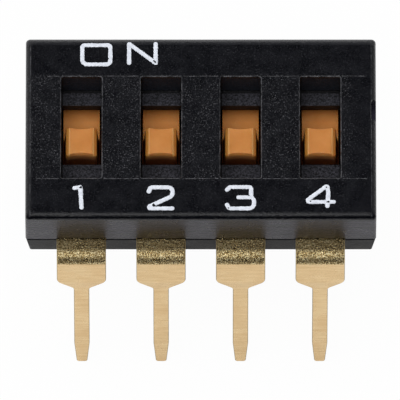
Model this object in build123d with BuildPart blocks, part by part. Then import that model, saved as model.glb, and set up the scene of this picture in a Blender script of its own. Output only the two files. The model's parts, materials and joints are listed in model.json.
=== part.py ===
from build123d import *
import math
import os

os.makedirs("parts", exist_ok=True)

# Slide dip switch, in millimetres. X runs along the row of switches, +Y points to the ON side,
# +Z is up, and the terminals stand on their tips at z = 0. Every slider is shown OFF.

# Switch positions and body
positions = 4
pitch = 2.54
end_margin = 1.78
body_width = 6.35
cover_height = 1.65
base_height = 1.05
corner_radius = 0.09
top_edge_radius = 0.22
seam_chamfer = 0.04
base_inset = 0.02
base_draft = 5.5
base_corner_radius = 0.06

# Slots in the cover
slot_length = 3.56
slot_depth = 1.06
slot_lip_radius = 0.11
ledge_thickness = 0.33
window_centre_y = 0.22

# Recess in the top edge of the right end
recess_centre_y = 0.63
recess_length = 0.72
recess_reach = 0.16
recess_depth = 0.4
recess_corner_radius = 0.07

# Sliders
travel = 1.0
slider_width = 1.17
plate_thickness = 0.18
plate_lap = 0.12
rail_width = 0.14
nub_length = 1.02
nub_base_width = 1.1
nub_top_width = 0.98
nub_below_top = 0.44
nub_scoop = 0.05
nub_corner_radius = 0.08
nub_edge_chamfer = 0.06
stake_radius = 0.15

# Running clearances
side_clearance = 0.06
stop_clearance = 0.03
lift_clearance = 0.03
rail_clearance = 0.05
end_clearance = 0.1

# Bridging contact springs
spring_thickness = 0.06
spring_width = 0.8
spring_flat = 0.9
contact_span = 1.8
contact_margin = 0.2
contact_gap = 0.03
contact_curl = 0.2
contact_rise = 0.09
contact_bend_radius = 0.12
spring_slit = 0.14
stake_clearance = 0.02

# Terminals
strip_thickness = 0.25
strip_width = 1.57
bend_inner_radius = 0.2
joggle_inner_radius = 0.1
joggle_run = 0.25
joggle_start = 2.66
pad_drop = 0.27
row_spacing = 7.62
splay = 14.0
leg_length = 4.9
shoulder_length = 0.86
shoulder_slope_length = 0.32
shoulder_radius = 0.22
root_radius = 0.16
pin_width = 0.49
tip_width = 0.34
tip_taper_length = 0.9
taper_radius = 1.0
tip_radius = 0.04

# Pegs that locate the cover on the base, and holes that the mould's support pins leave
peg_radius = 0.28
peg_height = 0.6
peg_clearance = 0.02
peg_end_inset = 0.58
peg_y = 2.1
support_hole_radius = 0.26
support_hole_inset = 0.6

# Heights that follow from the terminals: the seam stands where the legs carry it
splay_sine = math.sin(math.radians(splay))
splay_cosine = math.cos(math.radians(splay))
bend_outer_radius = bend_inner_radius + strip_thickness
bend_end_drop = bend_outer_radius * (1 - splay_sine)
seam_z = bend_end_drop + leg_length * splay_cosine + strip_thickness * splay_sine
base_z = seam_z - base_height
top_z = seam_z + cover_height
slot_floor_z = top_z - slot_depth
channel_z = slot_floor_z - ledge_thickness
pad_z = seam_z - pad_drop
plate_top_z = channel_z - lift_clearance
plate_z = plate_top_z - plate_thickness
rail_z = pad_z + rail_clearance
nub_top_z = top_z - nub_below_top

# Plan sizes that follow
body_length = (positions - 1) * pitch + 2 * end_margin
switch_x = [(number - (positions - 1) / 2) * pitch for number in range(positions)]
channel_width = slider_width + 2 * side_clearance
window_length = nub_length + travel + 2 * stop_clearance
plate_length = window_length + travel + 2 * plate_lap
channel_length = plate_length + travel + 2 * end_clearance
off_y = window_centre_y - travel / 2
near_pad_end = window_centre_y + travel / 2 - contact_span / 2 + contact_margin
far_pad_end = window_centre_y - travel / 2 + contact_span / 2 + contact_margin
row_reach = row_spacing / 2 + strip_thickness / 2
bend_start = row_reach - bend_outer_radius * splay_cosine
strip_radius = bend_inner_radius + strip_thickness / 2
joggle_radius = joggle_inner_radius + strip_thickness / 2
peg_x = body_length / 2 - peg_end_inset


# One terminal: the pad inside, the joggle up to the seam, the bend outside and the leg.
# side is -1 for the near row and 1 for the far row; pad_end is how far out the pad begins.
def make_terminal(x, side, pad_end):
    strip_plane = Plane(origin=(x, 0, seam_z), x_dir=(0, side, 0), z_dir=(side, 0, 0))
    upper = -strip_thickness / 2
    lower = upper - pad_drop
    corner = bend_start + strip_radius * math.tan(math.radians(90 - splay) / 2)
    shoulder_middle = (
        bend_start + strip_radius * splay_cosine + shoulder_length / 2 * splay_sine,
        strip_radius * splay_sine - bend_outer_radius - shoulder_length / 2 * splay_cosine,
    )
    leg_plane = Plane(
        origin=(x, side * row_reach, seam_z - bend_end_drop),
        x_dir=(-side, 0, 0),
        z_dir=(0, side * splay_cosine, splay_sine),
    )
    with BuildPart() as terminal:
        with BuildSketch(strip_plane):
            with BuildLine():
                FilletPolyline(
                    (pad_end, lower),
                    (joggle_start, lower),
                    (joggle_start + joggle_run, upper),
                    (corner, upper),
                    shoulder_middle,
                    radius=[joggle_radius, joggle_radius, strip_radius],
                )
            trace(line_width=strip_thickness)
        extrude(amount=strip_width / 2, both=True)
        with BuildSketch(leg_plane):
            with BuildLine():
                Line((0, 0), (strip_width / 2, 0))
                FilletPolyline(
                    (strip_width / 2, 0),
                    (strip_width / 2, -shoulder_length),
                    (pin_width / 2, -shoulder_length - shoulder_slope_length),
                    (pin_width / 2, tip_taper_length - leg_length),
                    (tip_width / 2, -leg_length),
                    (0, -leg_length),
                    radius=[shoulder_radius, root_radius, taper_radius, tip_radius],
                )
                mirror(about=Plane.YZ)
            make_face()
        extrude(amount=-strip_thickness)
    return terminal


terminals = {}
for number, x in enumerate(switch_x, start=1):
    terminals[f"terminal_near_{number}"] = make_terminal(x, -1, -near_pad_end)
    terminals[f"terminal_far_{number}"] = make_terminal(x, 1, far_pad_end)


# Cover: a block with a stepped slot over each slider, hollowed below by the channels that guide the
# sliders. The floor left between slot and channel has a window that the nub stands in. The top edges
# are rounded by the side and end profiles, so they meet in mitres at the nearly sharp corners.
with BuildPart() as cover:
    with BuildSketch(Plane.XY.offset(seam_z)):
        RectangleRounded(body_length, body_width, corner_radius)
    extrude(amount=cover_height)
    for plane, width in ((Plane.XZ, body_length), (Plane.YZ, body_width)):
        with BuildSketch(plane.offset(-body_length)) as outline:
            with Locations((0, top_z - cover_height / 2)):
                Rectangle(width, cover_height)
            fillet(outline.vertices().group_by(Axis.Y)[-1], top_edge_radius)
        extrude(amount=2 * body_length, mode=Mode.INTERSECT)
    chamfer(cover.faces().sort_by(Axis.Z)[0].edges(), seam_chamfer)
    slot_places = [(x, 0) for x in switch_x]
    window_places = [(x, window_centre_y) for x in switch_x]
    with BuildSketch(Plane.XY.offset(top_z)):
        with Locations(*slot_places):
            Rectangle(channel_width, slot_length)
    extrude(amount=-slot_depth, mode=Mode.SUBTRACT)
    mouth = cover.faces().filter_by(Axis.Z).sort_by(Axis.Z)[-1].inner_wires()
    fillet([edge for wire in mouth for edge in wire.edges()], slot_lip_radius)
    with BuildSketch(Plane.XY.offset(slot_floor_z)):
        with Locations(*window_places):
            Rectangle(channel_width, window_length)
    extrude(amount=-ledge_thickness, mode=Mode.SUBTRACT)
    with BuildSketch(Plane.XY.offset(seam_z)):
        with Locations(*window_places):
            Rectangle(channel_width, channel_length)
    extrude(amount=channel_z - seam_z, mode=Mode.SUBTRACT)
    with BuildSketch(Plane.XY.offset(seam_z)):
        with GridLocations(2 * peg_x, 2 * peg_y, 2, 2):
            Circle(peg_radius + peg_clearance)
    extrude(amount=peg_height + end_clearance, mode=Mode.SUBTRACT)
    with BuildSketch(Plane(origin=(body_length / 2, recess_centre_y, top_z))):
        RectangleRounded(2 * recess_reach, recess_length, recess_corner_radius)
    extrude(amount=-recess_depth, mode=Mode.SUBTRACT)


# Base: a plate with drafted sides, moulded round the terminals. Each well shows the near and far
# pads at its floor, with plastic between them, and the mould's support pins leave holes below.
with BuildPart() as base:
    with BuildSketch(Plane.XY.offset(seam_z)):
        Rectangle(body_length - 2 * base_inset, body_width - 2 * base_inset)
    extrude(amount=-base_height, taper=base_draft)
    fillet(base.edges().group_by(Axis.Z)[1], base_corner_radius)
    with BuildSketch(Plane.XY.offset(seam_z)):
        with Locations(*window_places):
            Rectangle(channel_width, channel_length)
    extrude(amount=-pad_drop, mode=Mode.SUBTRACT)
    near_hole_y = near_pad_end - support_hole_inset
    far_hole_y = far_pad_end + support_hole_inset
    with BuildSketch(Plane.XY.offset(base_z)):
        with Locations(*[(x, y) for x in switch_x for y in (near_hole_y, far_hole_y)]):
            Circle(support_hole_radius)
    extrude(amount=pad_z - strip_thickness - base_z, mode=Mode.SUBTRACT)
    with BuildSketch(Plane.XY.offset(seam_z)):
        with GridLocations(2 * peg_x, 2 * peg_y, 2, 2):
            Circle(peg_radius)
    extrude(amount=peg_height)
    for terminal in terminals.values():
        add(terminal, mode=Mode.SUBTRACT)


# One slider: the plate that runs under the ledges, a rail down each side, the stake that holds the
# spring, and the nub, which narrows upwards and is scooped on its near and far faces.
def make_slider(x):
    with BuildPart() as slider:
        with BuildSketch(Plane(origin=(x, off_y, plate_z))):
            Rectangle(slider_width, plate_length)
        extrude(amount=plate_thickness)
        with BuildSketch(Plane(origin=(x, off_y, plate_z))):
            with GridLocations(slider_width - rail_width, 0, 2, 1):
                Rectangle(rail_width, plate_length)
        extrude(amount=rail_z - plate_z)
        with BuildSketch(Plane(origin=(x, off_y, plate_z))):
            Circle(stake_radius)
        extrude(amount=-1.5 * spring_thickness)
        for height, width in ((plate_top_z, nub_base_width), (nub_top_z, nub_top_width)):
            with BuildSketch(Plane(origin=(x, off_y, height))) as level:
                with BuildLine():
                    near_arc = ThreePointArc(
                        (-width / 2, -nub_length / 2),
                        (0, nub_scoop - nub_length / 2),
                        (width / 2, -nub_length / 2),
                    )
                    mirror(near_arc, about=Plane.XZ)
                    Line(near_arc @ 0, (-width / 2, nub_length / 2))
                    Line(near_arc @ 1, (width / 2, nub_length / 2))
                make_face()
                fillet(level.vertices(), nub_corner_radius)
        loft()
        chamfer(slider.faces().sort_by(Axis.Z)[-1].edges(), nub_edge_chamfer)
    return slider


sliders = {}
for number, x in enumerate(switch_x, start=1):
    sliders[f"slider_{number}"] = make_slider(x)


# One bridging spring: a leaf under the slider whose two ends bow down to touch the pads, split into
# fingers by a slit at each end and held on the slider's stake by a hole in its middle.
def make_contact(x):
    leaf_top = -spring_thickness / 2
    leaf_low = pad_z - plate_z + contact_gap + spring_thickness / 2
    half_span = contact_span / 2
    side_plane = Plane(origin=(x, off_y, plate_z), x_dir=(0, 1, 0), z_dir=(1, 0, 0))
    with BuildPart() as contact:
        with BuildSketch(side_plane):
            with BuildLine():
                FilletPolyline(
                    (-half_span - contact_curl, leaf_low + contact_rise),
                    (-half_span, leaf_low),
                    (-spring_flat / 2, leaf_top),
                    (spring_flat / 2, leaf_top),
                    (half_span, leaf_low),
                    (half_span + contact_curl, leaf_low + contact_rise),
                    radius=contact_bend_radius,
                )
            trace(line_width=spring_thickness)
        extrude(amount=spring_width / 2, both=True)
        with BuildSketch(Plane(origin=(x, off_y, plate_z))):
            Circle(stake_radius + stake_clearance)
            slit_length = half_span + contact_curl - spring_flat / 2
            with GridLocations(0, 2 * half_span + 2 * contact_curl - slit_length, 1, 2):
                Rectangle(spring_slit, slit_length + spring_thickness)
        extrude(amount=2 * (pad_z - plate_z), mode=Mode.SUBTRACT)
    return contact


contacts = {}
for number, x in enumerate(switch_x, start=1):
    contacts[f"contact_{number}"] = make_contact(x)

pieces = {"cover": cover, "base": base, **sliders, **contacts, **terminals}
for name, piece in pieces.items():
    piece.part.label = name
    export_step(piece.part, f"parts/{name}.step")
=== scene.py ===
"""Looks of the slide dip switch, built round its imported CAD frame.

Sizes are in millimetres, as in part.py, and become metres when a mesh is made.
"""

import math
import random
from types import SimpleNamespace

import bmesh
import bpy
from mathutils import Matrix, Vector, noise
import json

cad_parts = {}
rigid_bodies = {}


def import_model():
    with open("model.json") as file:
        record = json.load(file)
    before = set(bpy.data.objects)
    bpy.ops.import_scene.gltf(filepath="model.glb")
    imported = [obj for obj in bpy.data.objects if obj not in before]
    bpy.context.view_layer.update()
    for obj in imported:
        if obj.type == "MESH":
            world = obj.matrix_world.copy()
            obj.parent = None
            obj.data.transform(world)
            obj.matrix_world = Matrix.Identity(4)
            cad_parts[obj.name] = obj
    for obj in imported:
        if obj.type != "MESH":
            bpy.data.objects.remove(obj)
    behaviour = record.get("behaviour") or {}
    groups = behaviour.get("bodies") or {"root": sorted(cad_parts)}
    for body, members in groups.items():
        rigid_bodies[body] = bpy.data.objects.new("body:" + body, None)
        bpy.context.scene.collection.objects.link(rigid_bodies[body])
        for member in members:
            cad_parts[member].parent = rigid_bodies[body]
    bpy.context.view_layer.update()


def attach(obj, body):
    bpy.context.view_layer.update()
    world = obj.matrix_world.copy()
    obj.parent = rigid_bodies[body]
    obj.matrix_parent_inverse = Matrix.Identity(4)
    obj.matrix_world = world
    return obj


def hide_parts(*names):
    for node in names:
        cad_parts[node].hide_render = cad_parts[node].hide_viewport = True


MM = 0.001

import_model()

# Sizes shared with part.py
positions = 4
pitch = 2.54
switch_x = [(number - (positions - 1) / 2) * pitch for number in range(positions)]
body_length = 11.18
body_width = 6.35
cover_height = 1.65
base_height = 1.05
corner_radius = 0.09
top_edge_radius = 0.22
seam_chamfer = 0.04
base_inset = 0.02
base_draft = math.radians(5.5)
base_corner_radius = 0.06
slot_length = 3.56
slot_depth = 1.06
ledge_thickness = 0.33
window_centre_y = 0.22
recess_centre_y = 0.63
recess_length = 0.72
recess_reach = 0.16
recess_depth = 0.4
travel = 1.0
slider_width = 1.17
plate_thickness = 0.18
rail_width = 0.14
nub_length = 1.02
nub_base_width = 1.1
nub_top_width = 0.98
nub_below_top = 0.44
nub_scoop = 0.05
nub_corner_radius = 0.08
stake_radius = 0.15
strip_thickness = 0.25
strip_width = 1.57
bend_inner_radius = 0.2
joggle_inner_radius = 0.1
joggle_run = 0.25
joggle_start = 2.66
pad_drop = 0.27
row_spacing = 7.62
splay = math.radians(14.0)
leg_length = 4.9
shoulder_length = 0.86
shoulder_slope_length = 0.32
shoulder_radius = 0.22
root_radius = 0.16
pin_width = 0.49
tip_width = 0.34
tip_taper_length = 0.9
taper_radius = 1.0
tip_radius = 0.04
peg_radius = 0.28
peg_height = 0.6
peg_x = body_length / 2 - 0.58
peg_y = 2.1
peg_places = [(x, y) for x in (-peg_x, peg_x) for y in (-peg_y, peg_y)]
support_hole_radius = 0.26

bend_outer_radius = bend_inner_radius + strip_thickness
bend_end_drop = bend_outer_radius * (1 - math.sin(splay))
seam_z = bend_end_drop + leg_length * math.cos(splay) + strip_thickness * math.sin(splay)
base_z = seam_z - base_height
top_z = seam_z + cover_height
slot_floor_z = top_z - slot_depth
channel_z = slot_floor_z - ledge_thickness
pad_z = seam_z - pad_drop
plate_top_z = channel_z - 0.03
plate_z = plate_top_z - plate_thickness
rail_z = pad_z + 0.05
nub_top_z = top_z - nub_below_top
channel_width = 1.29
window_length = 2.08
plate_length = 3.32
channel_length = 4.52
off_y = window_centre_y - travel / 2
near_pad_end = 0.02
far_pad_end = 0.82
row_reach = row_spacing / 2 + strip_thickness / 2
bend_start = row_reach - bend_outer_radius * math.cos(splay)
strip_radius = bend_inner_radius + strip_thickness / 2
joggle_radius = joggle_inner_radius + strip_thickness / 2

# Sizes of the fine forms that only the render has
slot_lip_radius = 0.045
slot_corner_radius = 0.06
notch_height = 0.085
seam_gap = 0.09
strip_edge_radius = 0.04
stroke_width = 0.135
stroke_height = 0.014

# Places where the looks of a surface change, and the black that is painted as shade deep in the slots and
# along their corners
wall_x = 5.35
wall_y = 2.95
field_y = 1.85
brink_x = 5.44
nub_rim_x = 0.385
formed_z = seam_z - bend_end_drop + 0.025
painted_slot_shade = (0.0008, 0.0009, 0.0014)


# Mesh tools


def add_object(name, data):
    made = bpy.data.objects.new(name, data)
    bpy.context.scene.collection.objects.link(made)
    return made


def make_object(name, bm):
    """An object from a bmesh in millimetres, which it uses up."""
    bmesh.ops.remove_doubles(bm, verts=bm.verts, dist=1e-5)
    bmesh.ops.recalc_face_normals(bm, faces=bm.faces)
    bmesh.ops.scale(bm, vec=(MM, MM, MM), verts=bm.verts)
    mesh = bpy.data.meshes.new(name)
    bm.to_mesh(mesh)
    bm.free()
    return add_object(name, mesh)


def ring_solid(name, rings):
    """Skins a list of rings with the same number of points, and closes both ends."""
    bm = bmesh.new()
    rows = [[bm.verts.new(point) for point in ring] for ring in rings]
    count = len(rings[0])
    for low, high in zip(rows, rows[1:]):
        for i in range(count):
            j = (i + 1) % count
            bm.faces.new((low[i], low[j], high[j], high[i]))
    bm.faces.new(list(reversed(rows[0])))
    bm.faces.new(rows[-1])
    return make_object(name, bm)


def at_height(points, z):
    return [(x, y, z) for x, y in points]


def prism(name, outline, low, high):
    return ring_solid(name, [at_height(outline, low), at_height(outline, high)])


def circle(x, y, radius, steps=32):
    """Points anticlockwise round a circle."""
    angles = [math.tau * step / steps for step in range(steps)]
    return [(x + radius * math.cos(angle), y + radius * math.sin(angle)) for angle in angles]


def rectangle(x, half, low, high):
    """Points anticlockwise round a rectangle that is centred on x and goes from low to high in y."""
    return [(x - half, low), (x + half, low), (x + half, high), (x - half, high)]


def rounded_rectangle(half_x, half_y, radius, steps=8, centre=(0.0, 0.0)):
    """Points anticlockwise round a rectangle with round corners."""
    points = []
    for corner, (sx, sy) in enumerate(((1, 1), (-1, 1), (-1, -1), (1, -1))):
        for step in range(steps + 1):
            angle = math.radians(90 * (corner + step / steps))
            x = centre[0] + sx * (half_x - radius) + radius * math.cos(angle)
            y = centre[1] + sy * (half_y - radius) + radius * math.sin(angle)
            points.append((x, y))
    return points


def spun(vector, angle):
    """A flat vector, turned anticlockwise by that angle."""
    cosine, sine = math.cos(angle), math.sin(angle)
    return Vector((vector.x * cosine - vector.y * sine, vector.x * sine + vector.y * cosine))


def fillet_path(corners, radii, steps):
    """Points along a polyline whose inner corners are rounded, each with its direction."""
    corners = [Vector(corner) for corner in corners]
    points = [(corners[0], (corners[1] - corners[0]).normalized())]
    for before, corner, after, radius, count in zip(
        corners, corners[1:], corners[2:], radii, steps
    ):
        way_in = (corner - before).normalized()
        way_out = (after - corner).normalized()
        turn = math.atan2(way_in.cross(way_out), way_in.dot(way_out))
        reach = radius * math.tan(abs(turn) / 2)
        side = Vector((-way_in.y, way_in.x)) * math.copysign(1, turn)
        centre = corner - way_in * reach + side * radius
        for step in range(count + 1):
            angle = turn * step / count
            points.append((centre + spun(-side * radius, angle), spun(way_in, angle)))
    points.append((corners[-1], (corners[-1] - corners[-2]).normalized()))
    return points


def combine(target, other, operation):
    """Applies an exact boolean to target and removes the other object."""
    modifier = target.modifiers.new("boolean", "BOOLEAN")
    modifier.operation = operation
    modifier.solver = "EXACT"
    modifier.object = other
    bpy.context.view_layer.update()
    shown = target.evaluated_get(bpy.context.evaluated_depsgraph_get())
    mesh = bpy.data.meshes.new_from_object(shown)
    target.modifiers.clear()
    old = target.data
    target.data = mesh
    bpy.data.meshes.remove(old)
    bpy.data.objects.remove(other)
    return target


def join(target, others):
    """Adds the meshes of the other objects to the target, and removes them."""
    bm = bmesh.new()
    for item in (target, *others):
        bm.from_mesh(item.data)
    bm.to_mesh(target.data)
    bm.free()
    for item in others:
        bpy.data.objects.remove(item)
    return target


def smooth(piece, angle=38.0):
    """Smooth shading that keeps flat faces flat and real edges sharp."""
    mesh = piece.data
    mesh.polygons.foreach_set("use_smooth", [True] * len(mesh.polygons))
    mesh.set_sharp_from_angle(angle=math.radians(angle))
    modifier = piece.modifiers.new("normals", "WEIGHTED_NORMAL")
    modifier.keep_sharp = True
    modifier.weight = 100
    return piece


def finish_piece(piece, material, body, slot, *nodes):
    piece.data.materials.clear()
    piece.data.materials.append(material)
    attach(piece, body)
    if nodes:
        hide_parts(*nodes)
    return piece


# Materials


class Tree:
    """A node tree, with short ways to add and join its nodes."""

    def __init__(self, owner):
        owner.use_nodes = True
        self.nodes = owner.node_tree.nodes
        self.links = owner.node_tree.links
        self.nodes.clear()

    def add(self, kind, **settings):
        node = self.nodes.new(kind)
        for name, value in settings.items():
            setattr(node, name, value)
        return node

    def feed(self, socket, source):
        """Links a source to a socket, or sets the socket to a number, a direction or a colour."""
        if isinstance(source, bpy.types.NodeSocket):
            self.links.new(source, socket)
        elif socket.type == "RGBA":
            socket.default_value = (*source, 1.0)
        else:
            socket.default_value = source

    def value(self, source, low, high, start=0.3, end=0.7, kind="LINEAR"):
        """Maps a source from start..end to low..high, and no further."""
        node = self.add("ShaderNodeMapRange", interpolation_type=kind)
        for name, number in (
            ("Value", source), ("From Min", start), ("From Max", end), ("To Min", low), ("To Max", high),
        ):
            self.feed(node.inputs[name], number)
        return node.outputs["Result"]

    def math(self, operation, first, second=0.0):
        node = self.add("ShaderNodeMath", operation=operation)
        self.feed(node.inputs[0], first)
        self.feed(node.inputs[1], second)
        return node.outputs["Value"]

    def times(self, first, *others):
        """The product of some sources, which keeps a mask where all of them hold."""
        for other in others:
            first = self.math("MULTIPLY", first, other)
        return first

    def most(self, first, *others):
        """The largest of some sources, which keeps a mask where any of them holds."""
        for other in others:
            first = self.math("MAXIMUM", first, other)
        return first

    def blend(self, factor, first, second):
        """A mix of two shaders."""
        node = self.add("ShaderNodeMixShader")
        for socket, source in zip(node.inputs, (factor, first, second)):
            self.feed(socket, source)
        return node.outputs["Shader"]


class Nodes(Tree):
    """A material's nodes. Lengths are in millimetres."""

    def __init__(self, name):
        self.material = bpy.data.materials.new(name)
        super().__init__(self.material)
        self.output = self.add("ShaderNodeOutputMaterial")
        self.shader = self.add("ShaderNodeBsdfPrincipled")
        self.feed(self.output.inputs["Surface"], self.shader.outputs["BSDF"])
        self.place = self.add("ShaderNodeTexCoord").outputs["Object"]

    def set(self, **values):
        for name, value in values.items():
            self.shader.inputs[name.replace("_", " ")].default_value = value

    def noise(self, size, detail=3.0, roughness=0.55, stretch=None, distortion=0.0):
        """A noise of that grain size."""
        node = self.add("ShaderNodeTexNoise")
        node.inputs["Scale"].default_value = 1 / (size * MM)
        node.inputs["Detail"].default_value = detail
        node.inputs["Roughness"].default_value = roughness
        node.inputs["Distortion"].default_value = distortion
        place = self.place
        if stretch:
            mapping = self.add("ShaderNodeMapping")
            mapping.inputs["Scale"].default_value = stretch
            self.feed(mapping.inputs["Vector"], self.place)
            place = mapping.outputs["Vector"]
        self.feed(node.inputs["Vector"], place)
        return node.outputs["Fac"]

    def spots(self, size):
        """Distance to the nearest of many scattered points, about that size apart."""
        node = self.add("ShaderNodeTexVoronoi")
        node.inputs["Scale"].default_value = 1 / (size * MM)
        self.feed(node.inputs["Vector"], self.place)
        return node.outputs["Distance"]

    def ramp(self, source, *stops):
        """Colours along a source. Each stop is a position and a colour."""
        node = self.add("ShaderNodeValToRGB")
        elements = node.color_ramp.elements
        while len(elements) < len(stops):
            elements.new(0.5)
        for element, (position, colour) in zip(elements, stops):
            element.position = position
            element.color = (*colour, 1.0)
        self.feed(node.inputs["Fac"], source)
        return node.outputs["Color"]

    def rise(self, source, start, end, low=0.0, high=1.0):
        """Goes up from low to high while a coordinate goes from start to end."""
        return self.value(source, low, high, start * MM, end * MM)

    def fall(self, source, start, end, high=1.0, low=0.0):
        """Goes down from high to low while a coordinate goes from start to end."""
        return self.value(source, high, low, start * MM, end * MM)

    def apart(self, source, middle=0.0):
        """How far a coordinate is from a place, to either side."""
        return self.math("ABSOLUTE", self.math("SUBTRACT", source, middle * MM))

    def in_pitch(self, x):
        """The place along the row, counted afresh from the left edge of each switch's pitch."""
        return self.math("MODULO", self.math("ADD", x, positions / 2 * pitch * MM), pitch * MM)

    def mix(self, factor, first, second):
        node = self.add("ShaderNodeMix", data_type="RGBA")
        for name, source in (("Factor", factor), ("A", first), ("B", second)):
            self.feed(node.inputs[name], source)
        return node.outputs["Result"]

    def axes(self):
        node = self.add("ShaderNodeSeparateXYZ")
        self.feed(node.inputs["Vector"], self.place)
        return [node.outputs[name] for name in "XYZ"]

    def bump(self, height, distance, strength=1.0, before=None):
        """Bump of that depth, on top of an earlier one."""
        node = self.add("ShaderNodeBump")
        node.inputs["Distance"].default_value = distance * MM
        self.feed(node.inputs["Strength"], strength)
        self.feed(node.inputs["Height"], height)
        if before:
            self.feed(node.inputs["Normal"], before)
        return node.outputs["Normal"]

    def wear(self, colour, roughness, normal):
        for source, name in ((colour, "Base Color"), (roughness, "Roughness"), (normal, "Normal")):
            self.feed(self.shader.inputs[name], source)
        return self.material


def cover_zones(nodes):
    """Masks of the cover's outer walls, of the insides of its slots and of the field round them."""
    x, y, z = nodes.axes()
    across, along = nodes.apart(x), nodes.apart(y)
    beside_wall = nodes.rise(along, wall_y - 0.05, wall_y + 0.05)
    return SimpleNamespace(
        x=x, y=y, z=z, across=across, along=along,
        long_wall=beside_wall,
        outer=nodes.most(nodes.rise(across, wall_x - 0.05, wall_x + 0.05), beside_wall),
        field=nodes.times(
            nodes.fall(along, field_y - 0.05, field_y + 0.05, 1.0, 0.25),
            nodes.fall(x, 4.55, 4.85, 1.0, 0.35),
        ),
        inside=nodes.times(
            nodes.fall(z, top_z - 0.16, top_z - 0.1),
            nodes.fall(across, 4.8, 4.9),
            nodes.fall(along, 2.5, 2.6),
        ),
    )


def cover_shades(nodes, zone, colour, lines):
    """Streaked outer walls, a painted reflection of each strip on the wall above it, and slots with
    scuffed walls and ledges, painted black as shade deep down and along their corners.
    """
    side = nodes.fall(zone.z, top_z - 0.3, top_z - 0.15)
    streaks = nodes.ramp(lines, (0.36, (0.006, 0.0052, 0.010)), (0.66, (0.034, 0.029, 0.052)))
    colour = nodes.mix(nodes.times(side, zone.outer), colour, streaks)

    aside = nodes.in_pitch(zone.x)
    # Painted reflection: the wall above each strip is painted a streaked dark brown, where the strip
    # below would be mirrored
    reflection_streaks = nodes.noise(0.06, detail=2.0, stretch=(1.0, 1.0, 0.06))
    painted_strip_reflection = nodes.times(
        nodes.fall(nodes.apart(aside, pitch / 2), strip_width / 2 - 0.08, strip_width / 2 + 0.02),
        nodes.fall(zone.z, seam_z + 0.1, seam_z + 1.3, 1.0, 0.35),
        nodes.value(reflection_streaks, 0.25, 1.0, 0.36, 0.6),
        side,
        zone.long_wall,
    )
    colour = nodes.mix(painted_strip_reflection, colour, (0.006, 0.003, 0.0006))

    scuffs = nodes.noise(0.06, detail=3.0, roughness=0.7)
    walls = nodes.ramp(scuffs, (0.35, (0.005, 0.007, 0.012)), (0.7, (0.026, 0.031, 0.044)))
    ledges = nodes.ramp(scuffs, (0.38, (0.003, 0.0034, 0.0045)), (0.72, (0.064, 0.063, 0.078)))
    on_ledge = nodes.fall(nodes.apart(zone.z, slot_floor_z), 0.006, 0.03)
    colour = nodes.mix(zone.inside, colour, walls)
    colour = nodes.mix(nodes.times(zone.inside, on_ledge), colour, ledges)

    # Painted shade: the channel below the ledges is painted black, where shade falls deep in the slot
    well = nodes.fall(zone.z, slot_floor_z - 0.04, slot_floor_z - 0.015)
    colour = nodes.mix(nodes.times(well, zone.inside), colour, painted_slot_shade)
    # Painted shade: black lines along the side corners of each slot and a dark band at the far end of
    # each ledge, where shade gathers
    margin = (pitch - channel_width) / 2
    ledge_end_shade = nodes.times(
        nodes.rise(zone.y, slot_length / 2 - 0.1, slot_length / 2 - 0.075, 0.0, 0.9),
        nodes.fall(zone.z, slot_floor_z + 0.03, slot_floor_z + 0.06),
    )
    corner = nodes.most(
        nodes.fall(aside, margin + 0.035, margin + 0.065),
        nodes.rise(aside, pitch - margin - 0.04, pitch - margin - 0.015, 0.0, 0.8),
        ledge_end_shade,
    )
    return nodes.mix(nodes.times(corner, zone.inside), colour, painted_slot_shade)


def cover_roughness(nodes, zone, roughness):
    """Duller inside the slots, and glossier along the round of the top edge."""
    brow = nodes.times(
        nodes.rise(zone.z, top_z - 0.2, top_z - 0.12),
        nodes.fall(zone.z, top_z - 0.05, top_z - 0.02),
        zone.outer,
    )
    roughness = nodes.math("ADD", roughness, nodes.times(zone.inside, 0.3))
    return nodes.math("SUBTRACT", roughness, nodes.times(brow, 0.14))


def edge_highlights_and_wear(nodes, zone):
    """Pale broken lines on the lips of the slots, on the witness ridges and near the top's ends: painted
    highlights, partly wear; and a painted sheen on the round of the far top edge.
    """
    lip = nodes.times(
        nodes.rise(zone.z, top_z - 0.045, top_z - 0.03),
        nodes.fall(zone.z, top_z - 0.006, top_z - 0.001),
        nodes.fall(zone.along, 1.88, 1.92),
        nodes.fall(zone.across, 4.9, 5.0),
    )
    ridge = nodes.times(
        nodes.rise(zone.z, top_z + 0.0004, top_z + 0.0012),
        nodes.fall(zone.z, top_z + 0.009, top_z + 0.011),
    )
    brink_highlight = nodes.times(
        nodes.fall(nodes.apart(zone.across, brink_x), 0.008, 0.022, 0.55),
        nodes.rise(zone.z, top_z - 0.1, top_z - 0.06),
    )
    # Painted sheen: a pale band on the round of the far top edge
    far_edge_sheen = nodes.times(
        nodes.rise(zone.y, 2.89, 2.94, 0.0, 0.14), nodes.rise(zone.z, top_z - 0.2, top_z - 0.15)
    )
    broken = nodes.value(nodes.noise(0.16, detail=3.0), 0.15, 1.0, 0.42, 0.58)
    return nodes.most(nodes.times(nodes.most(lip, ridge, brink_highlight), broken), far_edge_sheen)


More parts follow.
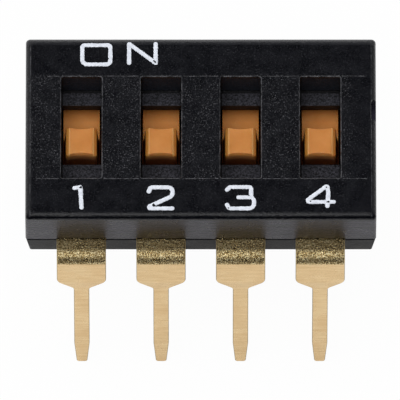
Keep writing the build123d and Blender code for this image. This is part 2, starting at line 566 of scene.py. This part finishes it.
def black_plastic(name, dark, light, gloss, grain, slotted=False):
    """Moulded plastic with a spark-eroded grain, pale specks and tool lines on its sides."""
    nodes = Nodes(name)
    mottle = nodes.noise(0.45, detail=4.0)
    fine = nodes.noise(0.05, detail=2.0)
    coarse = nodes.noise(0.11, detail=3.0, roughness=0.6)
    patchy = nodes.value(nodes.noise(0.5, detail=2.0), 0.35, 1.0, 0.42, 0.6)
    lines = nodes.noise(0.075, detail=2.0, stretch=(0.05, 0.05, 1.0))
    colour = nodes.ramp(mottle, (0.35, dark), (0.68, light))
    paler = tuple(2.6 * part for part in light)
    colour = nodes.mix(nodes.value(fine, 0.0, 0.5, 0.45, 0.75), colour, paler)
    strong = nodes.value(nodes.noise(0.3, detail=1.0), 0.0, 1.0, 0.42, 0.6)
    specks = nodes.times(nodes.value(nodes.spots(0.11), 1.0, 0.0, 0.08, 0.24), strong)
    frost = nodes.times(nodes.value(fine, 0.0, 1.0, 0.58, 0.69), patchy)
    roughness = nodes.value(mottle, gloss - 0.05, gloss + 0.07)
    relief = grain
    if slotted:
        zone = cover_zones(nodes)
        colour = cover_shades(nodes, zone, colour, lines)
        roughness = cover_roughness(nodes, zone, roughness)
        specks = nodes.times(specks, zone.field)
        on_top = nodes.rise(zone.z, top_z - 0.06, top_z - 0.03, 0.1)
        frost = nodes.times(frost, zone.field, on_top)
        relief = nodes.value(zone.field, 0.6, 1.0, 0.3, 1.0)
    colour = nodes.mix(nodes.times(frost, 0.9 * grain), colour, (0.080, 0.080, 0.088))
    colour = nodes.mix(nodes.times(specks, 0.6), colour, (0.075, 0.075, 0.082))
    if slotted:
        # Pale edge lines: painted highlights that partly stand for wear
        colour = nodes.mix(nodes.times(edge_highlights_and_wear(nodes, zone), 0.9), colour, (0.095, 0.095, 0.105))
    normal = nodes.bump(fine, 0.008 * grain, relief)
    normal = nodes.bump(fine, 0.006 * grain, relief, normal)
    normal = nodes.bump(coarse, 0.014 * grain, 1.0, normal)
    normal = nodes.bump(lines, 0.005, 1.0, normal)
    nodes.set(IOR=1.45 if slotted else 1.3)
    return nodes.wear(colour, roughness, normal)


def amber_plastic():
    """Amber moulding, with painted highlights on the nub's left bevel and the rims of its top, and
    painted shade on its right side, low on the nub, on the plate beside it and on the plate's far end
    under the ledge.
    """
    nodes = Nodes("amber_plastic")
    cloud = nodes.noise(0.5, detail=3.0)
    fine = nodes.noise(0.05, detail=2.0)
    colour = nodes.ramp(cloud, (0.3, (0.55, 0.212, 0.050)), (0.7, (0.63, 0.266, 0.074)))
    colour = nodes.mix(nodes.value(fine, 0.0, 0.12), colour, (0.48, 0.17, 0.035))

    x, y, z = nodes.axes()
    aside = nodes.in_pitch(x)
    from_middle = nodes.apart(aside, pitch / 2)
    top = nodes.rise(z, nub_top_z - 0.2, nub_top_z - 0.1)
    raised = nodes.rise(z, plate_top_z + 0.01, plate_top_z + 0.06)
    # Painted light: the nub's left bevel is tinted as lit, and a bright line is painted along the rims of
    # its top
    left = nodes.fall(aside, pitch / 2 - 0.4, pitch / 2 - 0.37)
    colour = nodes.mix(nodes.times(top, left, 0.7), colour, (0.56, 0.24, 0.042))
    rim_highlight = nodes.fall(nodes.apart(from_middle, nub_rim_x), 0.008, 0.03)
    colour = nodes.mix(nodes.times(rim_highlight, top, 0.42), colour, (1.0, 0.62, 0.26))
    # Painted shade: the nub's right side is darker and more saturated
    right = nodes.rise(aside, pitch / 2 + 0.38, pitch / 2 + 0.5)
    colour = nodes.mix(nodes.times(right, raised, 0.6), colour, (0.40, 0.125, 0.006))

    # Painted shade: near black low on the nub and on the plate beside it, deep in the slot
    nub_end = off_y + nub_length / 2
    nub_foot_shade = nodes.times(
        nodes.fall(z, nub_top_z - 0.42, nub_top_z - 0.05),
        raised,
        nodes.fall(y, nub_end - 0.35, nub_end + 0.02),
    )
    beside_nub_shade = nodes.times(
        nodes.rise(from_middle, 0.47, 0.5),
        nodes.rise(y, off_y - 0.62, off_y - 0.52),
        nodes.fall(y, nub_end - 0.08, nub_end + 0.06),
        nodes.fall(z, plate_top_z + 0.1, nub_top_z - 0.3),
    )
    colour = nodes.mix(nodes.times(nodes.most(nub_foot_shade, beside_nub_shade), 0.97), colour, (0.07, 0.014, 0.001))
    # Painted shadow: the plate darkens towards its far end, where the window's far ledge would shade it
    ledge_shadow = nodes.rise(y, 0.82, 1.26)
    colour = nodes.mix(nodes.times(ledge_shadow, 0.9), colour, (0.16, 0.05, 0.006))

    nodes.set(
        IOR=1.49,
        Subsurface_Weight=0.3,
        Subsurface_Radius=(1.0, 0.42, 0.14),
        Subsurface_Scale=0.05 * MM,
    )
    normal = nodes.bump(fine, 0.0025)
    normal = nodes.bump(nodes.noise(0.25, detail=2.0), 0.004, 1.0, normal)
    return nodes.wear(colour, nodes.value(cloud, 0.30, 0.40), normal)


def gold_plate():
    """Gold plating: coarse where the strip was formed, and drawn fine along the flat of the leg."""
    nodes = Nodes("gold_plate")
    _, _, z = nodes.axes()
    ragged = nodes.times(nodes.math("SUBTRACT", nodes.noise(0.12, detail=2.0), 0.5), 0.06 * MM)
    formed = nodes.rise(nodes.math("ADD", z, ragged), formed_z, formed_z + 0.03)
    coarse = nodes.noise(0.042, detail=3.0, roughness=0.7, stretch=(1.0, 0.75, 0.75), distortion=0.3)
    pits = nodes.noise(0.034, detail=2.0, roughness=0.6)
    ripples = nodes.noise(0.06, detail=2.0, stretch=(0.08, 1.0, 1.0))
    cloud = nodes.noise(0.6, detail=3.0)
    drawn = nodes.noise(0.05, detail=3.0, stretch=(0.06, 1.0, 1.0))
    flat = nodes.ramp(cloud, (0.3, (0.80, 0.57, 0.31)), (0.7, (0.90, 0.68, 0.39)))
    flat = nodes.mix(nodes.value(drawn, 0.0, 0.5, 0.38, 0.66), flat, (0.66, 0.44, 0.21))
    rough = nodes.ramp(
        coarse, (0.38, (0.13, 0.08, 0.024)), (0.5, (0.66, 0.47, 0.20)), (0.58, (1.0, 0.86, 0.52))
    )
    nodes.set(Metallic=1.0)
    normal = nodes.bump(drawn, 0.002)
    normal = nodes.bump(coarse, 0.016, formed, normal)
    normal = nodes.bump(pits, 0.012, formed, normal)
    normal = nodes.bump(ripples, 0.004, formed, normal)
    return nodes.wear(nodes.mix(formed, flat, rough), nodes.value(cloud, 0.22, 0.30), normal)


def gold_edge():
    """The blanked sides of the strip: dull on the leg, and painted pale along the bend as a highlight."""
    nodes = Nodes("gold_edge")
    cloud = nodes.noise(0.15, detail=3.0)
    shear = nodes.noise(0.05, detail=2.0, stretch=(1.0, 0.3, 0.3))
    _, _, z = nodes.axes()
    # Painted highlight: the sides are painted pale where the strip bends, as lit rims
    formed = nodes.rise(z, formed_z, formed_z + 0.08, 0.0, 0.9)
    colour = nodes.ramp(cloud, (0.3, (0.36, 0.27, 0.14)), (0.7, (0.55, 0.42, 0.23)))
    colour = nodes.mix(formed, colour, (1.0, 0.82, 0.46))
    roughness = nodes.math("ADD", nodes.value(cloud, 0.32, 0.45), nodes.times(formed, 0.25))
    nodes.set(Metallic=1.0)
    return nodes.wear(colour, roughness, nodes.bump(shear, 0.004))


def spring_metal():
    nodes = Nodes("spring_metal")
    cloud = nodes.noise(0.3, detail=3.0)
    drawn = nodes.noise(0.04, detail=2.0, stretch=(1.0, 0.1, 1.0))
    colour = nodes.ramp(cloud, (0.3, (0.70, 0.53, 0.28)), (0.7, (0.80, 0.62, 0.36)))
    nodes.set(Metallic=1.0)
    return nodes.wear(colour, nodes.value(cloud, 0.22, 0.34), nodes.bump(drawn, 0.0015))


def print_ink():
    nodes = Nodes("print_ink")
    cloud = nodes.noise(0.12, detail=3.0)
    fine = nodes.noise(0.035, detail=2.0)
    colour = nodes.ramp(cloud, (0.3, (0.66, 0.69, 0.77)), (0.65, (0.82, 0.86, 0.94)))
    return nodes.wear(colour, nodes.value(fine, 0.45, 0.6), nodes.bump(fine, 0.004))


cover_plastic = black_plastic(
    "cover_plastic", (0.0008, 0.0010, 0.0022), (0.0030, 0.0033, 0.0054), 0.29, 1.0, slotted=True
)
base_plastic = black_plastic(
    "base_plastic", (0.0036, 0.0036, 0.0052), (0.0072, 0.0073, 0.0100), 0.5, 0.7
)
amber = amber_plastic()
gold = gold_plate()
blanked = gold_edge()
spring = spring_metal()
ink = print_ink()


# Cover


def edge_rings(half_x, half_y, radius, edge, z, steps=10):
    """Rings that round the top edges of a block whose corners are nearly sharp."""
    rings = []
    for step in range(steps + 1):
        angle = math.radians(90 * step / steps)
        inset = edge * (1 - math.cos(angle))
        outline = rounded_rectangle(half_x - inset, half_y - inset, radius + 0.2 * inset)
        rings.append(at_height(outline, z - edge + edge * math.sin(angle)))
    return rings


def lip_arc(lip, steps):
    """How far out and how far up a rounded lip goes, from the wall to just short of the face."""
    angles = [math.radians(84 * step / steps) for step in range(steps + 1)]
    return [(lip * (1 - math.cos(angle)), lip * math.sin(angle)) for angle in angles]


def lip_rings(outline, z, lip, steps=5):
    """Rings of a cutter whose hole gets a rounded lip where it meets a flat face at height z."""
    rings = [at_height(outline(out), z - lip + up) for out, up in lip_arc(lip, steps)]
    rings.append(at_height(outline(lip * 1.2), z + 0.15))
    return rings


def slot_cutter(x):
    def outline(out):
        half_x, half_y = channel_width / 2 + out, slot_length / 2 + out
        return rounded_rectangle(half_x, half_y, slot_corner_radius + out, 5, (x, 0.0))

    rings = [at_height(outline(0.0), slot_floor_z)] + lip_rings(outline, top_z, slot_lip_radius, 6)
    return ring_solid("cutter", rings)


def window_cutter(x):
    """The channel and the window above it, drawn from the side and extruded across the slot."""
    lip = 0.02
    wide = channel_length / 2
    narrow = window_length / 2
    profile = [(wide, seam_z - 0.3), (wide, channel_z), (narrow, channel_z)]
    profile += [(narrow + out, slot_floor_z - lip + up) for out, up in lip_arc(lip, 5)]
    profile.append((narrow + lip * 1.1, slot_floor_z + 0.1))
    outline = [(window_centre_y + y, z) for y, z in profile]
    outline += [(window_centre_y - y, z) for y, z in reversed(profile)]
    half = channel_width / 2 - 0.004
    return ring_solid("cutter", [[(x + side * half, y, z) for y, z in outline] for side in (-1, 1)])


def recess_cutter():
    """The pocket in the top edge of the right end."""

    def outline(out):
        half_x, half_y = recess_reach + out, recess_length / 2 + out
        return rounded_rectangle(half_x, half_y, 0.07 + out, 6, (body_length / 2, recess_centre_y))

    rings = [at_height(outline(0.0), top_z - recess_depth)] + lip_rings(outline, top_z, 0.035)
    return ring_solid("cutter", rings)


def notch_cutter(x, side):
    """The dark gap that the cover leaves over a strip where it comes out of the seam."""
    low, high = sorted(side * (body_width / 2 + reach) for reach in (-0.12, 0.1))
    outline = rectangle(x, strip_width / 2 + 0.015, low, high)
    return prism("cutter", outline, seam_z - 0.1, seam_z + notch_height)


def make_cover():
    half_x, half_y = body_length / 2, body_width / 2
    rings = []
    for step in range(5):
        angle = math.radians(90 * step / 4)
        inset = seam_chamfer * (1 - math.sin(angle))
        outline = rounded_rectangle(half_x - inset, half_y - inset, 0.05)
        rings.append(at_height(outline, seam_z + seam_chamfer * (1 - math.cos(angle))))
    rings += edge_rings(half_x, half_y, corner_radius + 0.035, top_edge_radius, top_z)
    cover = ring_solid("cover_shell", rings)
    for x in switch_x:
        combine(cover, slot_cutter(x), "DIFFERENCE")
        combine(cover, window_cutter(x), "DIFFERENCE")
        for side in (-1, 1):
            combine(cover, notch_cutter(x, side), "DIFFERENCE")
    combine(cover, recess_cutter(), "DIFFERENCE")
    for x, y in peg_places:
        hole = circle(x, y, peg_radius + 0.02)
        combine(cover, prism("cutter", hole, seam_z - 0.2, seam_z + peg_height + 0.1), "DIFFERENCE")
    smooth(cover)
    return finish_piece(cover, cover_plastic, "housing", "cover_plastic", "cover")


make_cover()


# The fine ridges that the joint of the mould's slot insert leaves on the top


def make_witness(name, y, start, end):
    """A low ridge along the row, which drifts a little and thins out at its ends."""
    width, height = 0.026, 0.006
    generator = random.Random(name)
    stations = 60
    rings = []
    for station in range(stations + 1):
        x = start + (end - start) * station / stations
        middle = y + 0.006 * noise.noise(Vector((x * 1.3, y * 7, 0.0)))
        size = 0.65 + 0.35 * generator.random()
        if station in (0, stations):
            size = 0.1
        ring = []
        for step in range(8):
            angle = math.radians(180 * step / 7)
            out, up = width / 2 * size * math.cos(angle), height * size * math.sin(angle)
            ring.append((x, middle + out, top_z - 0.001 + up))
        rings.append(ring)
    ridge = ring_solid(name, rings)
    smooth(ridge, 60)
    return finish_piece(ridge, cover_plastic, "housing", "cover_plastic")


for row, y, start in (("far", 1.797, -4.9), ("near", -1.812, -5.25)):
    stops = [start]
    for x in switch_x:
        stops += [x - 0.70, x + 0.70]
    stops.append(5.3)
    for index, (low, high) in enumerate(zip(stops[::2], stops[1::2])):
        make_witness(f"witness_{row}_{index}", y, low, high)


# Base


def make_base():
    half_x, half_y = body_length / 2 - base_inset, body_width / 2 - base_inset
    shrink = base_height * math.tan(base_draft)
    edge = 0.03
    mouth_z = seam_z - seam_gap
    rings = []
    for step in range(9):
        angle = math.radians(90 * (1 - step / 8))
        inset = shrink + edge * (1 - math.cos(angle))
        outline = rounded_rectangle(half_x - inset, half_y - inset, base_corner_radius)
        rings.append(at_height(outline, base_z + edge - edge * math.sin(angle)))
    for inset, z in ((0.0, mouth_z - 0.02), (0.006, mouth_z - 0.006), (0.02, mouth_z)):
        outline = rounded_rectangle(half_x - inset, half_y - inset, base_corner_radius)
        rings.append(at_height(outline, z))
    tongue = rounded_rectangle(half_x - 0.13, half_y - 0.13, 0.05)
    rings += [at_height(tongue, mouth_z), at_height(tongue, seam_z)]
    base = ring_solid("base_block", rings)
    for x in switch_x:
        half = channel_length / 2
        well = rectangle(x, channel_width / 2, window_centre_y - half, window_centre_y + half)
        combine(base, prism("cutter", well, pad_z, seam_z + 0.2), "DIFFERENCE")
        for y in (near_pad_end - 0.6, far_pad_end + 0.6):
            rings = [
                at_height(circle(x, y, support_hole_radius + flare), z)
                for flare, z in (
                    (0.05, base_z - 0.1), (0.03, base_z), (0.01, base_z + 0.01),
                    (0.0, base_z + 0.04), (0.0, pad_z - strip_thickness + 0.01),
                )
            ]
            combine(base, ring_solid("cutter", rings), "DIFFERENCE")
    for x, y in peg_places:
        rings = [
            at_height(circle(x, y, peg_radius), seam_z - 0.1),
            at_height(circle(x, y, peg_radius), seam_z + peg_height - 0.05),
            at_height(circle(x, y, peg_radius - 0.05), seam_z + peg_height),
        ]
        combine(base, ring_solid("peg", rings), "UNION")
    smooth(base)
    return finish_piece(base, base_plastic, "housing", "base_plastic", "base")


make_base()


# Terminals


def strip_stations(pad_end):
    """Centreline points of a terminal as (out, up, direction, half width), from the pad to the tip."""
    upper = -strip_thickness / 2
    lower = upper - pad_drop
    corner = bend_start + strip_radius * math.tan((math.pi / 2 - splay) / 2)
    down = Vector((math.sin(splay), -math.cos(splay)))
    leg_top = Vector((row_reach, -bend_end_drop))
    leg_top -= strip_thickness / 2 * Vector((math.cos(splay), math.sin(splay)))
    bent = fillet_path(
        [
            (pad_end, lower), (joggle_start, lower), (joggle_start + joggle_run, upper),
            (corner, upper), leg_top + down * 0.1,
        ],
        [joggle_radius, joggle_radius, strip_radius],
        [6, 6, 20],
    )
    stations = [(point, heading, strip_width / 2) for point, heading in bent[:-1]]
    outline = fillet_path(
        [
            (0.0, strip_width / 2),
            (shoulder_length, strip_width / 2),
            (shoulder_length + shoulder_slope_length, pin_width / 2),
            (leg_length - tip_taper_length, pin_width / 2),
            (leg_length, tip_width / 2),
            (leg_length, 0.0),
        ],
        [shoulder_radius, root_radius, taper_radius, tip_radius],
        [10, 8, 6, 8],
    )
    for place, _ in outline[1:-1]:
        stations.append((leg_top + down * place.x, down, place.y))
    return stations


def make_terminal(name, x, side, pad_end):
    """A strip swept along its centreline, with a station at least every quarter millimetre."""
    stations = strip_stations(pad_end)
    spread = []
    for (point, heading, half), (after, heading_after, half_after) in zip(stations, stations[1:]):
        spread.append((point, heading, half))
        gaps = int((after - point).length / 0.25)
        for gap in range(1, gaps):
            t = gap / gaps
            turned = heading.lerp(heading_after, t).normalized()
            spread.append((point.lerp(after, t), turned, half + (half_after - half) * t))
    spread.append(stations[-1])
    rings = []
    for point, heading, half in spread:
        normal = Vector((-heading.y, heading.x))
        ring = []
        for across, along in rounded_rectangle(half, strip_thickness / 2, strip_edge_radius, 3):
            place = point + normal * along
            ring.append((x + across, side * place.x, seam_z + place.y))
        rings.append(ring)
    return smooth(ring_solid(name, rings), 50)


for number, x in enumerate(switch_x, start=1):
    for row, side, pad_end in (("near", -1, -near_pad_end), ("far", 1, far_pad_end)):
        terminal = make_terminal(f"{row}_terminal_{number}", x, side, pad_end)
        finish_piece(terminal, gold, "housing", "terminal_gold", f"terminal_{row}_{number}")
        terminal.data.materials.append(blanked)
        for face in terminal.data.polygons:
            if abs(face.normal.x) > 0.3:
                face.material_index = 1


# Sliders


def nub_outline(x, width, inset):
    """A nub's outline in plan: straight sides, and near and far faces that are scooped."""
    half_x = width / 2 - inset
    half_y = nub_length / 2 - inset
    reach = (half_x**2 + nub_scoop**2) / (2 * nub_scoop)
    corner = max(nub_corner_radius - inset, 0.015)
    points = []
    steps = 16

    def face(sign):
        """Points of a scooped face from +x to -x on the far side, and back on the near side."""
        found = []
        for step in range(steps + 1):
            across = half_x * (1 - 2 * step / steps)
            dip = math.sqrt(reach**2 - across**2) - (reach - nub_scoop)
            found.append((across, half_y - dip))
        return [(sign * a, sign * b) for a, b in found]

    sharp = face(1) + face(-1)
    count = len(sharp)
    for index, (a, b) in enumerate(sharp):
        before, here, after = (Vector(sharp[(index + turn) % count]) for turn in (-1, 0, 1))
        if abs(abs(a) - half_x) > 1e-6:
            if half_x - abs(a) > corner * 0.9:
                points.append(here)
            continue
        way_in = (here - before).normalized()
        way_out = (after - here).normalized()
        turn = way_in.angle(way_out)
        run = corner * math.tan(turn / 2)
        start = here - way_in * run
        end = here + way_out * run
        for step in range(7):
            t = step / 6
            points.append(start * (1 - t) ** 2 + here * 2 * t * (1 - t) + end * t**2)
    return [(x + p.x, off_y + p.y) for p in points]


# The nub's round upper edge, as how far in and how far below the top each ring lies
nub_bevel = (
    (0.0, 0.125), (0.004, 0.11), (0.012, 0.098), (0.03, 0.08), (0.07, 0.042),
    (0.094, 0.02), (0.106, 0.011), (0.12, 0.005), (0.14, 0.001), (0.155, 0.0),
)


def make_slider(number, x):
    """A plate with a rail along each side, a stake for its spring below and the nub above."""
    root = 0.05
    plate_half = slider_width / 2
    rings = []
    for inset, z in (
        (0.02, plate_z), (0.0, plate_z + 0.02), (0.0, plate_top_z - 0.02),
        (0.006, plate_top_z - 0.006), (0.02, plate_top_z),
    ):
        half_x, half_y = plate_half - inset, plate_length / 2 - inset
        rings.append(at_height(rounded_rectangle(half_x, half_y, 0.04, 4, (x, off_y)), z))
    slider = ring_solid(f"slider_body_{number}", rings)
    for side in (-1, 1):
        centre = (x + side * (plate_half - rail_width / 2), off_y)
        rings = []
        for inset, z in ((0.02, rail_z), (0.001, rail_z + 0.02), (0.001, plate_z + 0.06)):
            half_x, half_y = rail_width / 2 - inset, plate_length / 2 - inset - 0.001
            rings.append(at_height(rounded_rectangle(half_x, half_y, 0.03, 3, centre), z))
        combine(slider, ring_solid("rail", rings), "UNION")
    stake = prism("stake", circle(x, off_y, stake_radius, 24), plate_z - 0.09, plate_z + 0.05)
    combine(slider, stake, "UNION")

    def nub_ring(z, inset=0.0, narrower=0.0):
        """The outline at a height of a nub that tapers from its root to its top."""
        share = max(0.0, (z - plate_top_z) / (nub_top_z - plate_top_z))
        width = nub_base_width + (nub_top_width - nub_base_width) * share
        return at_height(nub_outline(x, width - narrower, inset), z)

    rings = [nub_ring(plate_top_z - 0.05, -root)]
    for step in range(6):
        angle = math.radians(90 * step / 5)
        rings.append(nub_ring(plate_top_z + root * (1 - math.cos(angle)), -root * (1 - math.sin(angle))))
    start = plate_top_z + root
    end = nub_top_z - nub_bevel[0][1]
    rings += [nub_ring(start + (end - start) * step / 6) for step in range(1, 6)]
    rings += [nub_ring(nub_top_z - drop, 0.4 * inset, 1.2 * inset) for inset, drop in nub_bevel]
    combine(slider, ring_solid("nub", rings), "UNION")
    smooth(slider)
    return finish_piece(slider, amber, f"actuator_{number}", "slider_plastic", f"slider_{number}")


for number, x in enumerate(switch_x, start=1):
    make_slider(number, x)
    node = bpy.data.objects[f"contact_{number}"]
    node.data.materials.clear()
    node.data.materials.append(spring)


# Print


def stroke(name, points, width, height, generator):
    """A raised stroke of ink along a path, with round ends and slightly uneven sides."""
    path = [Vector(point) for point in points]
    fine = []
    for start, end in zip(path, path[1:]):
        steps = max(1, round((end - start).length / 0.02))
        fine += [start.lerp(end, step / steps) for step in range(steps)]
    fine.append(path[-1])
    headings = []
    for before, after in zip([fine[0]] + fine[:-1], fine[1:] + [fine[-1]]):
        headings.append((after - before).normalized())
    phase = generator.uniform(0, 100)
    caps = [[], []]
    for cap, point, heading, sign in zip(caps, (fine[0], fine[-1]), (headings[0], headings[-1]), (-1, 1)):
        for step in range(7):
            angle = math.radians(90 * step / 7)
            place = point + sign * heading * width / 2 * math.cos(angle)
            cap.append((place, heading, math.sin(angle) + 0.02))
    stations = caps[0]
    for index, (point, heading) in enumerate(zip(fine, headings)):
        slow = noise.noise(Vector((index * 0.31, phase, 0.0)))
        quick = noise.noise(Vector((index * 0.83, phase, 4.0)))
        stations.append((point, heading, 1 + 0.17 * slow + 0.12 * quick))
    stations += reversed(caps[1])
    rings = []
    for point, heading, size in stations:
        side = Vector((-heading.y, heading.x))
        ring = []
        for step in range(9):
            angle = math.radians(180 * step / 8)
            place = point + side * (width / 2 * size * math.cos(angle))
            rise = height * min(1.0, size) * math.sin(angle) ** 0.6
            ring.append((place.x, place.y, top_z + rise))
        ring.append((point.x, point.y, top_z - 0.004))
        rings.append(ring)
    return ring_solid(name, rings)


def curved(corners, radii):
    """A stroke's path through corners that are rounded by the radii given."""
    return [tuple(point) for point, _ in fillet_path(corners, radii, [8] * len(radii))]


glyphs = {
    "O": [
        curved(
            [
                (-3.336, 2.893), (-2.889, 2.893), (-2.889, 2.213), (-3.785, 2.213), (-3.785, 2.893),
                (-3.336, 2.893),
            ],
            [0.1, 0.13, 0.17, 0.09],
        )
    ],
    "N": [
        [(-2.290, 2.930), (-2.290, 2.262)],
        [(-2.270, 2.925), (-1.445, 2.262)],
        [(-1.442, 2.262), (-1.442, 2.935)],
    ],
    "one": [
        curved([(-4.020, -2.145), (-3.835, -2.105), (-3.810, -2.600), (-3.795, -2.830)], [0.02, 0.3]),
    ],
    "two": [
        curved(
            [
                (-1.655, -2.270), (-1.600, -2.120), (-0.900, -2.120), (-0.900, -2.420), (-1.640, -2.790),
                (-1.640, -2.860), (-0.905, -2.860),
            ],
            [0.09, 0.15, 0.17, 0.03, 0.03],
        )
    ],
    "three": [
        curved(
            [(0.835, -2.205), (0.93, -2.110), (1.600, -2.110), (1.600, -2.46)],
            [0.06, 0.07],
        ),
        [(1.200, -2.470), (1.600, -2.470)],
        curved(
            [(1.600, -2.440), (1.695, -2.57), (1.690, -2.860), (0.900, -2.860), (0.835, -2.730)],
            [0.08, 0.17, 0.07],
        ),
    ],
    "four": [
        curved(
            [
                (4.030, -2.780), (4.060, -2.300), (4.025, -2.062), (3.400, -2.560), (3.420, -2.632),
                (4.230, -2.630),
            ],
            [0.5, 0.03, 0.04, 0.03],
        ),
    ],
}


def make_fleck(name, x, y, size):
    """A ragged fleck of bare plastic where the ink did not take."""
    generator = random.Random(name)
    spokes = [
        (size / 2 * generator.uniform(0.6, 1.25) * Vector(point)) for point in circle(0.0, 0.0, 1.0, 12)
    ]
    rings = [
        [(x + scale * spoke.x, y + scale * spoke.y, top_z + rise) for spoke in spokes]
        for scale, rise in ((1.0, 0.0), (1.0, stroke_height), (0.7, stroke_height + 0.003))
    ]
    return finish_piece(smooth(ring_solid(name, rings), 60), cover_plastic, "housing", None)


# Each fleck's place and size
flecks = (
    (-1.500, 2.335, 0.055), (-1.455, 2.290, 0.075), (-3.829, -2.128, 0.09), (-1.497, -2.752, 0.11),
    (4.000, -2.120, 0.055), (4.064, -2.631, 0.075), (4.020, -2.640, 0.05), (3.491, -2.612, 0.05),
    (-3.300, 2.955, 0.035), (-2.955, 2.420, 0.04),
    (0.875, -2.850, 0.05), (1.533, -2.410, 0.045),
)
for index, (x, y, size) in enumerate(flecks):
    make_fleck(f"fleck_{index}", x, y, size)

generator = random.Random(7)
for name, lines in glyphs.items():
    strokes = [
        stroke(f"print_{name}_{index}", line, stroke_width, stroke_height, generator)
        for index, line in enumerate(lines)
    ]
    mark = join(strokes[0], strokes[1:])
    mark.name = f"print_{name}"
    smooth(mark, 60)
    finish_piece(mark, ink, "housing", None)


# Stage, light and camera


def bearing(azimuth, elevation):
    """A direction from the object. Azimuth 0 is the camera's side, and 90 is the right."""
    a, e = math.radians(azimuth), math.radians(elevation)
    return Vector((math.sin(a) * math.cos(e), -math.cos(a) * math.cos(e), math.sin(e)))


def make_stage():
    """A white card under the terminal tips, which the camera sees nearly pure white."""
    bm = bmesh.new()
    bm.faces.new([bm.verts.new(point) for point in at_height(rectangle(0.0, 60.0, -19.0, 60.0), 0.0)])
    floor = make_object("floor", bm)
    nodes = Nodes("white_floor")
    nodes.set(Base_Color=(0.86, 0.86, 0.86, 1.0), Roughness=0.9, Specular_IOR_Level=0.0)
    glow = nodes.add("ShaderNodeEmission")
    nodes.feed(glow.inputs["Color"], (1.0, 1.0, 1.0))
    path = nodes.add("ShaderNodeLightPath").outputs
    seen = nodes.times(nodes.most(path["Is Camera Ray"], path["Is Transmission Ray"]), 0.965)
    mirrored = nodes.times(path["Is Glossy Ray"], 0.22)
    card = nodes.blend(
        nodes.most(seen, mirrored), nodes.shader.outputs["BSDF"], glow.outputs["Emission"]
    )
    nodes.feed(nodes.output.inputs["Surface"], card)
    floor.data.materials.append(nodes.material)


def make_world():
    """A soft studio: dim overhead behind, a wide bright panel above the camera, dark low in front."""
    world = bpy.data.worlds.new("studio")
    bpy.context.scene.world = world
    sky = Tree(world)
    direction = sky.add("ShaderNodeTexCoord").outputs["Generated"]
    split = sky.add("ShaderNodeSeparateXYZ")
    sky.feed(split.inputs["Vector"], direction)
    x, y, z = (split.outputs[name] for name in "XYZ")

    def step(source, start, end, low=0.0, high=1.0):
        return sky.value(source, low, high, start, end, "SMOOTHSTEP")

    def towards(azimuth, elevation, inner, outer):
        """1 within inner degrees of a direction, and 0 beyond outer degrees."""
        node = sky.add("ShaderNodeVectorMath", operation="DOT_PRODUCT")
        sky.feed(node.inputs[0], direction)
        sky.feed(node.inputs[1], tuple(bearing(azimuth, elevation)))
        return step(node.outputs["Value"], *(math.cos(math.radians(edge)) for edge in (outer, inner)))

    def dimmed(level, mask, share):
        """The level, less that share of it where the mask holds."""
        return sky.times(level, sky.math("SUBTRACT", 1.0, sky.times(mask, share)))

    def raised(level, mask, extra):
        """The level, with that much more where the mask holds."""
        return sky.math("ADD", level, sky.times(mask, extra))

    behind = step(y, 0.05, 0.35)
    level = sky.times(step(x, -0.5, 0.6, 1.0, 0.45), 0.42)
    overhead = towards(174.0, 66.0, 10.0, 36.0)
    level = dimmed(level, overhead, 0.88)
    low_front = sky.times(step(z, 0.34, 0.62, 1.0, 0.0), step(y, -0.25, 0.15, 1.0, 0.0))
    level = dimmed(level, low_front, 0.96)
    horizon = sky.times(step(z, 0.04, 0.16), step(z, 0.34, 0.5, 1.0, 0.0), behind)
    level = raised(level, horizon, 0.5)
    straight = step(sky.math("ABSOLUTE", x), 0.2, 0.4, 1.0, 0.0)
    backdrop = sky.times(straight, step(z, 0.5, 0.7, 1.0, 0.0), behind)
    level = raised(level, backdrop, 0.8)
    panel = towards(-8.0, 64.0, 13.0, 24.0)
    level = raised(level, panel, 1.55)

    rooms = []
    for strength in (level, 1.0):
        room = sky.add("ShaderNodeBackground")
        sky.feed(room.inputs["Color"], (1.0, 1.0, 1.0))
        sky.feed(room.inputs["Strength"], strength)
        rooms.append(room.outputs["Background"])
    seen = sky.add("ShaderNodeLightPath").outputs["Is Camera Ray"]
    output = sky.add("ShaderNodeOutputWorld")
    sky.feed(output.inputs["Surface"], sky.blend(seen, *rooms))


def make_lamp(name, azimuth, elevation, distance, size, power):
    """A softbox that faces the object."""
    light = bpy.data.lights.new(name, "AREA")
    light.shape = "RECTANGLE"
    light.size, light.size_y = size
    light.energy = power
    lamp = add_object(name, light)
    away = bearing(azimuth, elevation)
    lamp.location = Vector((0.0, 0.0, 0.005)) + away * distance
    lamp.rotation_euler = away.to_track_quat("Z", "Y").to_euler()
    lamp.visible_camera = False
    lamp.visible_glossy = False


make_stage()
make_world()
make_lamp("softbox", -105.0, 77.0, 0.6, (0.8, 0.75), 3.2)

camera_data = bpy.data.cameras.new("camera")
camera = add_object("camera", camera_data)
bpy.context.scene.camera = camera
view_elevation = 65.0
pixels_per_mm = 31.42
camera_distance = 600.0
picture_width = 400
camera_data.sensor_width = 36.0
camera_data.lens = pixels_per_mm * camera_distance * camera_data.sensor_width / picture_width
camera_data.clip_start = 0.01
camera_data.clip_end = 20.0
aim = Vector((-0.026, -2.564, top_z)) * MM
back = bearing(0.0, view_elevation)
camera.location = aim + back * camera_distance * MM
camera.rotation_euler = back.to_track_quat("Z", "Y").to_euler()

bpy.context.scene.view_settings.view_transform = "Standard"
